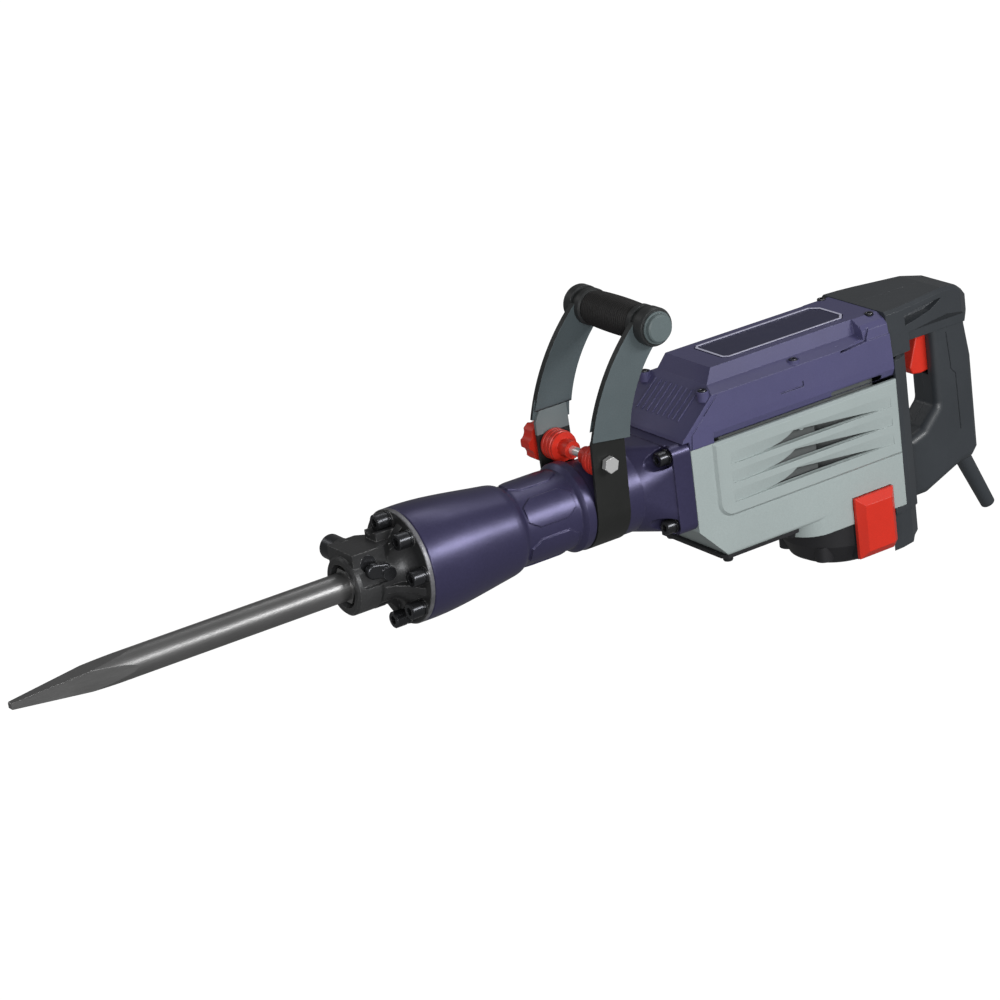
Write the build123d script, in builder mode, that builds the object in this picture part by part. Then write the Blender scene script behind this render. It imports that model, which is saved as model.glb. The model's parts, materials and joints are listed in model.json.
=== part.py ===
from build123d import *
from math import atan2, cos, pi, radians, sin, sqrt, tan
import os

# Electric jackhammer with a hex-shank bull point chisel.
# Frame: origin at the centre of the tool holder's mouth, on the hammer axis.
# +X runs back from the chisel to the rear handle, +Y to the operator's right, +Z up. Millimetres.

# ---- driving dimensions -------------------------------------------------------------------
CHISEL_R = 12.5
CHISEL_REACH = 310.0
SHANK_FLATS = 28.0
SHANK_END_X = 100.0
CHISEL_TRAVEL = 25.0

NOSE_R = 26.0
FLANGE_R = 50.5
FLANGE_FRONT_X = 55.0
BARREL_FRONT_X = 59.0
BARREL_BORE_R = 30.0
NECK_R = 36.0
STRAP_X = 250.0
STRAP_WIDTH = 34.0
REAR_FLANGE_X = 308.0
HOUSING_FRONT_X = 327.0
HOUSING_REAR_X = 557.0
HOUSING_HALF_WIDTH = 53.0
FLANGE_HALF_HEIGHT = 41.0
TOP_Z = 93.0
WALL = 3.0
GAP = 0.3

CYLINDER_R = 25.5
CRANK_X = 416.0
CRANK_THROW = 22.0
ROD_LENGTH = 110.0
LAYSHAFT_X = 470.0
MOTOR_X = 515.0

GRIP_X = 303.0
GRIP_Z = 154.0
CLAMP_X = 247.5
CLAMP_Z = 44.0

PIN_X = 17.0
PIN_Z = 20.0
PIN_R = 7.5

TRIGGER_PIVOT_X = 639.0
TRIGGER_PIVOT_Z = 47.0

CRANK_PIN_X = CRANK_X + CRANK_THROW
PISTON_PIN_X = CRANK_PIN_X - ROD_LENGTH


# ---- helpers ------------------------------------------------------------------------------
def write(part, label):
    """Labels a finished piece and writes its STEP file."""
    part.label = label
    export_step(part, f"parts/{label}.step")


def across(x):
    """Plane square to the hammer axis at x: local x is Y, local y is Z, normal +X."""
    return Plane.YZ.offset(x)


def side(y):
    """Upright plane along the hammer axis at y: local x is X, local y is Z, normal -Y."""
    return Plane.XZ.offset(-y)


def level(z):
    """Level plane at height z: local x is X, local y is Y, normal +Z."""
    return Plane.XY.offset(z)


def polar(radius, angle):
    """Y and Z of a point at an angle round the hammer axis."""
    return (radius * cos(radians(angle)), radius * sin(radians(angle)))


def polygon(points):
    """Closed filled outline in the sketch that is being drawn."""
    return Polygon(*points, align=None)


def ring(plane, outer, inner, height, centre=(0, 0)):
    """Plain round ring standing on a plane."""
    with BuildPart() as made:
        with BuildSketch(plane):
            with Locations(centre):
                Circle(outer)
                Circle(inner, mode=Mode.SUBTRACT)
        extrude(amount=height)
    return made.part


def turned(profile, axis=Axis.X, plane=Plane.XZ):
    """Solid of revolution from (along, radius) points."""
    with BuildPart() as made:
        with BuildSketch(plane):
            polygon(profile)
        revolve(axis=axis)
    return made.part


def upright(x, profile):
    """Solid turned about a vertical axis at x, from (radius, z) points."""
    with BuildPart() as made:
        with BuildSketch(Plane.XZ):
            polygon([(x + r, z) for r, z in profile])
        revolve(axis=Axis((x, 0, 0), (0, 0, 1)))
    return made.part


def socket_screw(head_r, head_h, shank_r, length, socket=0.55):
    """Socket-head cap screw along +Z: the head's underside is at z = 0, the shank below it."""
    with BuildPart() as made:
        with BuildSketch(level(0)):
            Circle(head_r)
        extrude(amount=head_h)
        chamfer(made.faces().sort_by(Axis.Z)[-1].edges(), head_r * 0.1)
        with BuildSketch(level(head_h)):
            RegularPolygon(radius=head_r * socket, side_count=6)
        extrude(amount=-head_h * 0.6, mode=Mode.SUBTRACT)
        with BuildSketch(level(0)):
            Circle(shank_r)
        extrude(amount=-length)
    return made.part


def gather(pieces, label):
    """One node made of several identical solids."""
    group = Compound(children=list(pieces))
    write(group, label)
    return group


def gear_outline(teeth, module, phase):
    """Spur gear outline with involute flanks in short flats, a low addendum and backlash."""
    pressure = radians(20)
    pitch_r = teeth * module / 2
    base_r = pitch_r * cos(pressure)
    tip_r = pitch_r + 0.85 * module
    root_r = pitch_r - 1.2 * module
    half_tooth = pi / (2 * teeth) - 0.10 * module / pitch_r
    pitch_roll = tan(pressure) - pressure

    def flank_angle(radius):
        roll = sqrt(max((radius / base_r) ** 2 - 1, 0))
        return half_tooth + pitch_roll - (roll - atan2(roll, 1))

    start_r = max(base_r, root_r + 0.05)
    radii = [start_r + (tip_r - start_r) * step / 3 for step in range(4)]
    points = []
    for tooth in range(teeth):
        centre = radians(phase) + 2 * pi * tooth / teeth
        foot = flank_angle(start_r)
        rising = [(root_r, -foot)] + [(r, -flank_angle(r)) for r in radii]
        falling = [(r, flank_angle(r)) for r in reversed(radii)] + [(root_r, foot)]
        points += [(r * cos(centre + a), r * sin(centre + a)) for r, a in rising + falling]
    return points


def gear(x, z, teeth, module, width, hex_flats, phase=0.0):
    """Gear on a vertical axis at x, keyed by a hexagonal bore."""
    with BuildPart() as made:
        with BuildSketch(level(z)):
            polygon([(x + a, b) for a, b in gear_outline(teeth, module, phase)])
            with Locations((x, 0)):
                RegularPolygon(hex_flats / 2, 6, major_radius=False, mode=Mode.SUBTRACT)
        extrude(amount=width)
    return made.part


# ---- chisel -------------------------------------------------------------------------------
ROUND_END_X = 2.0
POINT_LENGTH = 112.0
with BuildPart() as chisel:
    with BuildSketch(across(-CHISEL_REACH)):
        Circle(CHISEL_R)
    extrude(amount=CHISEL_REACH + ROUND_END_X)
    with BuildSketch(across(ROUND_END_X)):
        RegularPolygon(SHANK_FLATS / 2, 6, major_radius=False)
    extrude(amount=SHANK_END_X - ROUND_END_X)
    chamfer(chisel.faces().sort_by(Axis.X)[-1].edges(), 2)
    # four ground facets that run out into the round body
    for view in (Plane.XZ, Plane.XY):
        for way in (1, -1):
            with BuildSketch(view):
                polygon(
                    [
                        (-CHISEL_REACH - 1, way * 2.6),
                        (-CHISEL_REACH + POINT_LENGTH, way * (CHISEL_R + 0.2)),
                        (-CHISEL_REACH + POINT_LENGTH, way * 20),
                        (-CHISEL_REACH - 1, way * 20),
                    ]
                )
            extrude(amount=20, both=True, mode=Mode.SUBTRACT)
    fillet(chisel.faces().sort_by(Axis.X)[0].edges(), 2.0)
    # notch that the retaining pin drops into
    with BuildSketch(side(0)):
        with Locations((PIN_X + CHISEL_TRAVEL / 2, SHANK_FLATS / 2)):
            RectangleRounded(CHISEL_TRAVEL + 2 * PIN_R + 2, 6, 2.5)
    extrude(amount=30, both=True, mode=Mode.SUBTRACT)
write(chisel.part, "chisel")

# ---- front cover --------------------------------------------------------------------------
COVER_SPIGOT_END = 98.0
SLEEVE_R = 21.0
BOLT_CIRCLE_R = 43.0
BOLT_COUNT = 8
BOLT_PHASE = 39.0
COVER_BOLT_ANGLES = [BOLT_PHASE + 360 / BOLT_COUNT * k for k in range(1, BOLT_COUNT)]
SEAT_X = FLANGE_FRONT_X - 0.5
WASHER_STACK = 3.8
with BuildPart() as front_cover:
    with BuildSketch(Plane.XZ):
        with BuildLine():
            Polyline((0, 0), (0, NOSE_R - 2), (2, NOSE_R), (22, NOSE_R), (26, 24), (38, 23.5))
            flare = ThreePointArc((38, 23.5), (49, 27), (FLANGE_FRONT_X, 38))
            Polyline(
                flare @ 1,
                (FLANGE_FRONT_X, FLANGE_R - 1),
                (FLANGE_FRONT_X + 1, FLANGE_R),
                (BARREL_FRONT_X, FLANGE_R),
                (BARREL_FRONT_X, BARREL_BORE_R - 0.05),
                (COVER_SPIGOT_END, BARREL_BORE_R - 0.05),
                (COVER_SPIGOT_END, 0),
                (0, 0),
            )
        make_face()
    revolve(axis=Axis.X)
    # flat-topped block over the retaining pin
    with BuildSketch(level(12)):
        with BuildLine():
            Polyline((3, -18), (3, 22), (30, 22), (42, 12), (42, -12), (34, -18), close=True)
        make_face()
    extrude(amount=19)
    # webs from the nose to the flange
    for angle in [BOLT_PHASE + 67.5 + 90 * k for k in range(4)]:
        arm = Plane(origin=(0, 0, 0), x_dir=(1, 0, 0), z_dir=(0, -sin(radians(angle)), cos(radians(angle))))
        with BuildSketch(arm):
            polygon([(22, 20), (24, 23), (36, 26), (46, 32), (57, 45), (57, 20)])
        extrude(amount=3.5, both=True)
    # seats round the bolt heads
    with BuildSketch(across(SEAT_X)):
        with Locations([polar(BOLT_CIRCLE_R, a) for a in COVER_BOLT_ANGLES]):
            Circle(7.4)
    extrude(amount=3)
    # bearing end of the retaining pin on the right, machined pad beside it
    with BuildSketch(side(16)):
        with Locations((PIN_X, PIN_Z)):
            Circle(11.5)
    extrude(amount=-9)
    with BuildSketch(across(34)):
        with Locations((2, 30)):
            Rectangle(18, 16)
    extrude(amount=22)
    # bore for the guide sleeve, mouth with a wide bevel
    with BuildSketch(Plane.XZ):
        polygon([(-1, 0), (-1, 19.6), (5, 17), (11, 17), (11, SLEEVE_R), (99, SLEEVE_R), (99, 0)])
    revolve(axis=Axis.X, mode=Mode.SUBTRACT)
    # cross bore for the pin, wide and shallow window on the left for its keeper
    with BuildSketch(side(0)):
        with Locations((PIN_X, PIN_Z)):
            Circle(PIN_R + 0.05)
    extrude(amount=40, both=True, mode=Mode.SUBTRACT)
    with BuildSketch(side(-21.2)):
        with Locations((22.5, 13.5)):
            RectangleRounded(34, 24, 5)
    extrude(amount=20, mode=Mode.SUBTRACT)
    with BuildSketch(across(FLANGE_FRONT_X - 5)):
        with Locations([polar(BOLT_CIRCLE_R, a) for a in COVER_BOLT_ANGLES]):
            Circle(4.3)
    extrude(amount=40, mode=Mode.SUBTRACT)
    # room for the bolt heads where they stand against the webs
    with BuildSketch(across(30)):
        with Locations([polar(BOLT_CIRCLE_R, a) for a in COVER_BOLT_ANGLES]):
            Circle(8.2)
    extrude(amount=SEAT_X - 30, mode=Mode.SUBTRACT)
write(front_cover.part, "front_cover")

# guide sleeve with a hexagonal bore for the shank
with BuildPart() as tool_sleeve:
    with BuildSketch(across(11 + 0.1)):
        Circle(SLEEVE_R - 0.04)
        RegularPolygon(SHANK_FLATS / 2 + GAP, 6, major_radius=False, mode=Mode.SUBTRACT)
    extrude(amount=COVER_SPIGOT_END - 11 - 0.2)
    with BuildSketch(side(0)):
        with Locations((PIN_X, PIN_Z)):
            Circle(PIN_R + 0.05)
    extrude(amount=40, both=True, mode=Mode.SUBTRACT)
write(tool_sleeve.part, "tool_sleeve")

# retaining pin: half of its round is cut away, so half a turn frees the chisel
PIN_HEAD_Y = 43.0
with BuildPart() as retaining_pin:
    with BuildSketch(side(-18)):
        with Locations((PIN_X, PIN_Z)):
            Circle(PIN_R)
    extrude(amount=-(18 + 25.5))
    with BuildSketch(side(25.4)):
        with Locations((PIN_X, PIN_Z)):
            Circle(11)
    extrude(amount=-(PIN_HEAD_Y - 25.4))
    chamfer(retaining_pin.faces().sort_by(Axis.Y)[-1].edges(), 1)
    with BuildSketch(side(PIN_HEAD_Y)):
        with Locations((PIN_X, PIN_Z)):
            Circle(2.5)
    extrude(amount=6, mode=Mode.SUBTRACT)
    with BuildSketch(side(-17)):
        with Locations((PIN_X, PIN_Z + 4.5 + 10)):
            Rectangle(30, 20)
    extrude(amount=-34, mode=Mode.SUBTRACT)
write(retaining_pin.part, "retaining_pin")

# sprung keeper plate in the window at the pin's left end
KEEPER_Y = -21.5
with BuildPart() as pin_keeper:
    with BuildSketch(side(KEEPER_Y)):
        with Locations((23, 13)):
            SlotOverall(24, 13, rotation=-12)
    extrude(amount=5)
    fillet(pin_keeper.faces().sort_by(Axis.Y)[0].edges(), 2)
    with BuildSketch(side(KEEPER_Y - 5)):
        with Locations((28, 12)):
            Circle(3)
    extrude(amount=1.5)
    with BuildSketch(side(KEEPER_Y)):
        with Locations((31.5, 8.8)):
            Circle(6.2)
    extrude(amount=6)
write(pin_keeper.part, "pin_keeper")

# ---- cover bolts --------------------------------------------------------------------------
HEAD_X = SEAT_X - WASHER_STACK - 0.1
cover_bolts = []
cover_washers = []
for angle in COVER_BOLT_ANGLES:
    y, z = polar(BOLT_CIRCLE_R, angle)
    facing_front = Plane(origin=(HEAD_X, y, z), z_dir=(-1, 0, 0))
    cover_bolts.append(facing_front * socket_screw(7.3, 10, 4.2, 36))
    cover_washers.append(ring(across(HEAD_X + 0.05), 6.3, 4.3, 2.2, (y, z)))
    cover_washers.append(ring(across(HEAD_X + 2.35), 7.1, 4.3, 1.45, (y, z)))
gather(cover_bolts, "front_cover_bolts")

# ---- barrel -------------------------------------------------------------------------------
COLLAR_FRONT_X = 222.0
NECK_FRONT_X = STRAP_X - STRAP_WIDTH / 2 - 0.4
NECK_REAR_X = STRAP_X + STRAP_WIDTH / 2 + 0.4
RING_REAR_X = 283.0
PANEL_COUNT = 6
PANEL_PHASE = 29.0
PANEL_START, PANEL_END = 167.5, 216.0

with BuildPart() as panel_prisms:
    for index in range(PANEL_COUNT):
        angle = radians(360 / PANEL_COUNT * index + PANEL_PHASE)
        outward = Plane(
            origin=((PANEL_START + PANEL_END) / 2, 0, 0), x_dir=(1, 0, 0), z_dir=(0, cos(angle), sin(angle))
        )
        half_l = (PANEL_END - PANEL_START) / 2
        with BuildSketch(outward.offset(25)):
            polygon(
                [
                    (-half_l, -7), (-half_l + 10, -13.4), (half_l - 10, -13.4), (half_l, -7),
                    (half_l, 7), (half_l - 10, 13.4), (-half_l + 10, 13.4), (-half_l, 7),
                ]
            )
        extrude(amount=15)

with BuildPart() as raised_panels:
    with BuildSketch(Plane.XZ):
        polygon([(PANEL_START, 34), (PANEL_END, 34), (PANEL_END, 37.4), (PANEL_START, 37.4)])
    revolve(axis=Axis.X)
    add(panel_prisms.part, mode=Mode.INTERSECT)

FLANGE_BOLT_Y = 43.0
FLANGE_BOLT_Z = 31.5
FLANGE_BOLTS = [(FLANGE_BOLT_Y * a, FLANGE_BOLT_Z * b) for a in (-1, 1) for b in (-1, 1)]
with BuildPart() as barrel:
    with BuildSketch(Plane.XZ):
        with BuildLine():
            Polyline((BARREL_FRONT_X, 0), (BARREL_FRONT_X, 49), (BARREL_FRONT_X + 1.5, FLANGE_R))
            taper = Spline((BARREL_FRONT_X + 1.5, FLANGE_R), (96, 49), (130, 44.6), (154, 41.2))
            shoulder = Spline(taper @ 1, (161, 39.2), (168, NECK_R), tangents=[(1, -0.18), (1, 0)])
            Polyline(
                shoulder @ 1,
                (COLLAR_FRONT_X - 2, NECK_R),
                (COLLAR_FRONT_X, 38.5),
                (COLLAR_FRONT_X + 2, 40.3),
                (NECK_FRONT_X - 1, 40.3),
                (NECK_FRONT_X, 39.5),
                (NECK_FRONT_X, NECK_R),
                (NECK_REAR_X, NECK_R),
                (NECK_REAR_X, 39.5),
                (NECK_REAR_X + 1, 40),
                (RING_REAR_X, 40),
                (RING_REAR_X, 0),
                (BARREL_FRONT_X, 0),
            )
        make_face()
    revolve(axis=Axis.X)
    add(raised_panels.part)
    # throat that opens from the round neck to the rectangular flange
    with BuildSketch(across(RING_REAR_X)):
        RectangleRounded(79, 79, 38)
    with BuildSketch(across(REAR_FLANGE_X)):
        RectangleRounded(2 * HOUSING_HALF_WIDTH - 3, 2 * FLANGE_HALF_HEIGHT - 1, 22)
    loft()
    with BuildSketch(across(REAR_FLANGE_X)):
        RectangleRounded(2 * HOUSING_HALF_WIDTH, 2 * FLANGE_HALF_HEIGHT, 9)
    extrude(amount=HOUSING_FRONT_X - REAR_FLANGE_X)
    fillet(barrel.faces().sort_by(Axis.X)[-1].outer_wire().edges(), 0.6)
    # pockets for the rear bolts
    with BuildSketch(across(284)):
        with Locations(FLANGE_BOLTS):
            Circle(9.6)
    extrude(amount=REAR_FLANGE_X + 2 - 284, mode=Mode.SUBTRACT)
    # bore, then the holes for both sets of bolts
    with BuildSketch(across(BARREL_FRONT_X - 1)):
        Circle(BARREL_BORE_R)
    extrude(amount=HOUSING_FRONT_X - BARREL_FRONT_X + 2, mode=Mode.SUBTRACT)
    with BuildSketch(across(BARREL_FRONT_X - 1)):
        with Locations([polar(BOLT_CIRCLE_R, a) for a in COVER_BOLT_ANGLES]):
            Circle(4.3)
    extrude(amount=31, mode=Mode.SUBTRACT)
    with BuildSketch(across(REAR_FLANGE_X)):
        with Locations(FLANGE_BOLTS):
            Circle(4.1)
    extrude(amount=HOUSING_FRONT_X - REAR_FLANGE_X + 2, mode=Mode.SUBTRACT)
write(barrel.part, "barrel")

REAR_HEAD_X = REAR_FLANGE_X + 2 - 3.2
barrel_bolts = []
barrel_washers = []
for y, z in FLANGE_BOLTS:
    facing_front = Plane(origin=(REAR_HEAD_X, y, z), z_dir=(-1, 0, 0))
    barrel_bolts.append(facing_front * socket_screw(6.5, 9, 4.0, 31))
    barrel_washers.append(ring(across(REAR_HEAD_X + 0.05), 7.4, 4.1, 1.4, (y, z)))
    barrel_washers.append(ring(across(REAR_HEAD_X + 1.5), 6.2, 4.1, 1.6, (y, z)))
gather(barrel_bolts, "barrel_bolts")
gather(cover_washers + barrel_washers, "lock_washers")

# ---- impact parts in the barrel -----------------------------------------------------------
BOLT_FRONT_X = SHANK_END_X + 0.4
BOLT_NOSE_R = 13.8
BOLT_STEM_R = 11.0
BOLT_STEM_END = 180.0
impact_bolt = turned(
    [
        (BOLT_FRONT_X, 0), (BOLT_FRONT_X, BOLT_NOSE_R - 1), (BOLT_FRONT_X + 1, BOLT_NOSE_R),
        (138, BOLT_NOSE_R), (141, 24), (153, 24), (155, BOLT_STEM_R),
        (BOLT_STEM_END - 1, BOLT_STEM_R), (BOLT_STEM_END, BOLT_STEM_R - 1), (BOLT_STEM_END, 0),
    ]
)
write(impact_bolt, "impact_bolt")
impact_guides = [
    ring(across(104), BARREL_BORE_R - 0.05, BOLT_NOSE_R + 0.05, 18),
    ring(across(157), BARREL_BORE_R - 0.05, BOLT_STEM_R + 0.05, 10.8),
]
gather(impact_guides, "impact_guides")
write(ring(across(122.1), BARREL_BORE_R - 0.1, 19, 4), "damper_ring")
LINER_END_X = 338.0
write(ring(across(168), BARREL_BORE_R - 0.05, CYLINDER_R, LINER_END_X - 168), "cylinder_liner")

# striker with one oil groove
STRIKER_LENGTH = 40.0
STRIKER_FRONT_X = BOLT_STEM_END + GAP
striker = turned(
    [
        (STRIKER_FRONT_X, 0), (STRIKER_FRONT_X, 12), (STRIKER_FRONT_X + 6, 16),
        (STRIKER_FRONT_X + 6, CYLINDER_R - 0.05), (STRIKER_FRONT_X + 26, CYLINDER_R - 0.05),
        (STRIKER_FRONT_X + 26, 23.6), (STRIKER_FRONT_X + 30, 23.6),
        (STRIKER_FRONT_X + 30, CYLINDER_R - 0.05),
        (STRIKER_FRONT_X + STRIKER_LENGTH, CYLINDER_R - 0.05), (STRIKER_FRONT_X + STRIKER_LENGTH, 0),
    ]
)
write(striker, "striker")

# piston: one oil groove, hollow behind its crown, with the pin across it upright
PISTON_CROWN_X = PISTON_PIN_X - 35
PISTON_SKIRT_X = PISTON_PIN_X + 20
PISTON_PIN_R = 7.0
with BuildPart() as piston:
    with BuildSketch(Plane.XZ):
        polygon(
            [
                (PISTON_CROWN_X, 0), (PISTON_CROWN_X, CYLINDER_R - 0.05),
                (PISTON_CROWN_X + 5, CYLINDER_R - 0.05),
                (PISTON_CROWN_X + 5, 23.6), (PISTON_CROWN_X + 9, 23.6),
                (PISTON_CROWN_X + 9, CYLINDER_R - 0.05),
                (PISTON_SKIRT_X, CYLINDER_R - 0.05), (PISTON_SKIRT_X, 19), (PISTON_CROWN_X + 15, 19),
                (PISTON_CROWN_X + 15, 0),
            ]
        )
    revolve(axis=Axis.X)
    for z in (8.2, -22.4):
        with BuildSketch(level(z)):
            with Locations((PISTON_PIN_X, 0)):
                Circle(11)
        extrude(amount=14.2)
    with BuildSketch(level(-30)):
        with Locations((PISTON_PIN_X, 0)):
            Circle(PISTON_PIN_R + 0.02)
    extrude(amount=60, mode=Mode.SUBTRACT)
write(piston.part, "piston")
piston_pin = upright(PISTON_PIN_X, [(2.5, -22.5), (PISTON_PIN_R, -22.5), (PISTON_PIN_R, 22.5), (2.5, 22.5)])
write(piston_pin, "piston_pin")

CRANK_PIN_R = 9.0
DISC_Z = 11.0
with BuildPart() as connecting_rod:
    with BuildSketch(level(-7)):
        with Locations((PISTON_PIN_X, 0)):
            Circle(12)
        with Locations((CRANK_PIN_X, 0)):
            Circle(16)
        polygon([(PISTON_PIN_X, -7), (CRANK_PIN_X, -10), (CRANK_PIN_X, 10), (PISTON_PIN_X, 7)])
    extrude(amount=14)
    for z, amount in ((7, -3), (-7, 3)):
        with BuildSketch(level(z)):
            polygon([(345, -4), (415, -6), (415, 6), (345, 4)])
        extrude(amount=amount, mode=Mode.SUBTRACT)
    with BuildSketch(level(-8)):
        with Locations((PISTON_PIN_X, 0)):
            Circle(PISTON_PIN_R + 0.05)
        with Locations((CRANK_PIN_X, 0)):
            Circle(CRANK_PIN_R + 0.02)
    extrude(amount=16, mode=Mode.SUBTRACT)
write(connecting_rod.part, "connecting_rod")
write(
    upright(
        CRANK_PIN_X,
        [
            (0, -8.5), (11, -8.5), (11, -7.2), (CRANK_PIN_R, -7.2),
            (CRANK_PIN_R, DISC_Z - GAP), (0, DISC_Z - GAP),
        ],
    ),
    "crank_pin",
)

# ---- gear train ---------------------------------------------------------------------------
CRANK_TEETH, LAY_PINION_TEETH, CRANK_MODULE = 40, 14, 2.0
LAY_TEETH, MOTOR_TEETH, LAY_MODULE = 48, 12, 1.5
CRANK_GEAR_Z = 43.0
LAY_GEAR_Z = 28.0
CRANK_FLATS, LAY_FLATS, MOTOR_FLATS = 17.0, 12.0, 9.0

with BuildPart() as crankshaft:
    with BuildSketch(level(DISC_Z)):
        with Locations((CRANK_X, 0)):
            Circle(35)
    extrude(amount=8)
    with BuildSketch(level(DISC_Z + 8)):
        with Locations((CRANK_X, 0)):
            Circle(10)
    extrude(amount=CRANK_GEAR_Z - DISC_Z - 8)
    with BuildSketch(level(CRANK_GEAR_Z)):
        with Locations((CRANK_X, 0)):
            RegularPolygon(CRANK_FLATS / 2, 6, major_radius=False)
    extrude(amount=14)
    with BuildSketch(level(CRANK_GEAR_Z + 14)):
        with Locations((CRANK_X, 0)):
            Circle(8)
    extrude(amount=8.5)
write(crankshaft.part, "crankshaft")
write(gear(CRANK_X, CRANK_GEAR_Z + 0.1, CRANK_TEETH, CRANK_MODULE, 13.5, CRANK_FLATS + 0.1), "crank_gear")

with BuildPart() as layshaft:
    with BuildSketch(level(20.5)):
        with Locations((LAYSHAFT_X, 0)):
            Circle(6)
    extrude(amount=LAY_GEAR_Z - 20.5)
    with BuildSketch(level(LAY_GEAR_Z)):
        with Locations((LAYSHAFT_X, 0)):
            RegularPolygon(LAY_FLATS / 2, 6, major_radius=False)
    extrude(amount=58 - LAY_GEAR_Z)
    with BuildSketch(level(58)):
        with Locations((LAYSHAFT_X, 0)):
            Circle(6)
    extrude(amount=7.5)
write(layshaft.part, "layshaft")
write(gear(LAYSHAFT_X, LAY_GEAR_Z + 0.1, LAY_TEETH, LAY_MODULE, 10, LAY_FLATS + 0.1), "layshaft_gear")
write(
    gear(LAYSHAFT_X, 42, LAY_PINION_TEETH, CRANK_MODULE, 15.5, LAY_FLATS + 0.1, 180 / LAY_PINION_TEETH),
    "layshaft_pinion",
)

# ---- crank case ---------------------------------------------------------------------------
CASE_HALF_WIDTH = 47.0
WEB_Z = 20.0
LID_Z = 60.0
CASE_TOP_REAR_X = 541.0
with BuildPart() as crank_case:
    with BuildSketch(across(HOUSING_FRONT_X + 0.2)):
        Rectangle(2 * CASE_HALF_WIDTH, 2 * 38)
    extrude(amount=13.8)
    with BuildSketch(level(-26)):
        with Locations(((HOUSING_FRONT_X + 14 + 466) / 2, 0)):
            Rectangle(466 - HOUSING_FRONT_X - 14, 2 * CASE_HALF_WIDTH)
    extrude(amount=WEB_Z + 26)
    with BuildSketch(level(WEB_Z)):
        with Locations(((362 + CASE_TOP_REAR_X) / 2, 0)):
            Rectangle(CASE_TOP_REAR_X - 362, 2 * CASE_HALF_WIDTH)
    extrude(amount=LID_Z - WEB_Z)
    fillet(crank_case.edges().filter_by(Axis.Z).group_by(Axis.X)[-1], 12)
    # crank chamber, then gear chamber
    with BuildSketch(level(-20)):
        with Locations(((HOUSING_FRONT_X + 14 + 460) / 2, 0)):
            Rectangle(460 - HOUSING_FRONT_X - 14, 86)
    extrude(amount=WEB_Z + 20, mode=Mode.SUBTRACT)
    with BuildSketch(level(WEB_Z + 7)):
        with Locations(((369 + 535) / 2, 0)):
            RectangleRounded(535 - 369, 86, 8)
    extrude(amount=LID_Z, mode=Mode.SUBTRACT)
    # seats: cylinder, crank bearing, layshaft and motor bearing
    with BuildSketch(across(HOUSING_FRONT_X)):
        Circle(BARREL_BORE_R)
        with Locations(FLANGE_BOLTS):
            Circle(4.1)
    extrude(amount=PISTON_SKIRT_X + 1 - HOUSING_FRONT_X, mode=Mode.SUBTRACT)
    with BuildSketch(level(WEB_Z - 1)):
        with Locations((CRANK_X, 0)):
            Circle(20)
        with Locations((LAYSHAFT_X, 0)):
            Circle(11)
        with Locations((MOTOR_X, 0)):
            Circle(14)
    extrude(amount=9, mode=Mode.SUBTRACT)
write(crank_case.part, "crank_case")

with BuildPart() as gear_case_lid:
    with BuildSketch(level(LID_Z + 0.1)):
        with Locations(((362 + CASE_TOP_REAR_X) / 2, 0)):
            RectangleRounded(CASE_TOP_REAR_X - 362, 2 * CASE_HALF_WIDTH - 1, 10)
        with Locations((CRANK_X, 0)):
            Circle(14, mode=Mode.SUBTRACT)
        with Locations((LAYSHAFT_X, 0)):
            Circle(11, mode=Mode.SUBTRACT)
    extrude(amount=5.5)
write(gear_case_lid.part, "gear_case_lid")

def race(x, inner, outer, low_z, high_z):
    """Upright plain ring that stands for a rolling bearing."""
    return upright(x, [(inner, low_z), (outer, low_z), (outer, high_z), (inner, high_z)])


LOWER_RACE = (WEB_Z + 0.2, WEB_Z + 6.8)
UPPER_RACE = (LID_Z - 1, LID_Z + 5.4)
gear_bearings = [
    race(CRANK_X, 10.05, 19.97, *LOWER_RACE),
    race(CRANK_X, 8.05, 13.97, *UPPER_RACE),
    race(LAYSHAFT_X, 6.05, 10.97, *LOWER_RACE),
    race(LAYSHAFT_X, 6.05, 10.97, *UPPER_RACE),
]

# ---- motor --------------------------------------------------------------------------------
with BuildPart() as armature_shaft:
    with BuildSketch(Plane.XZ):
        polygon(
            [
                (MOTOR_X, -123), (MOTOR_X + 5, -123), (MOTOR_X + 5, -108), (MOTOR_X + 6, -108),
                (MOTOR_X + 6, WEB_Z + 7.5), (MOTOR_X, WEB_Z + 7.5),
            ]
        )
    revolve(axis=Axis((MOTOR_X, 0, 0), (0, 0, 1)))
    with BuildSketch(level(WEB_Z + 7.5)):
        with Locations((MOTOR_X, 0)):
            RegularPolygon(MOTOR_FLATS / 2, 6, major_radius=False)
    extrude(amount=11.5)
write(armature_shaft.part, "armature_shaft")
write(
    gear(MOTOR_X, LAY_GEAR_Z, MOTOR_TEETH, LAY_MODULE, 10.5, MOTOR_FLATS + 0.1, 180 / MOTOR_TEETH),
    "motor_pinion",
)

ARMATURE_SLOTS = 12
with BuildPart() as armature_core:
    with BuildSketch(level(-66)):
        with Locations((MOTOR_X, 0)):
            Circle(24)
            Circle(6.01, mode=Mode.SUBTRACT)
            with PolarLocations(22.5, ARMATURE_SLOTS):
                Rectangle(6, 2.4, mode=Mode.SUBTRACT)
    extrude(amount=52)
end_turns = [
    ring(level(-76), 20, 6.1, 9.9, (MOTOR_X, 0)),
    ring(level(-13.9), 20, 6.1, 4, (MOTOR_X, 0)),
]
gather([armature_core.part, *end_turns], "wound_armature")

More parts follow.
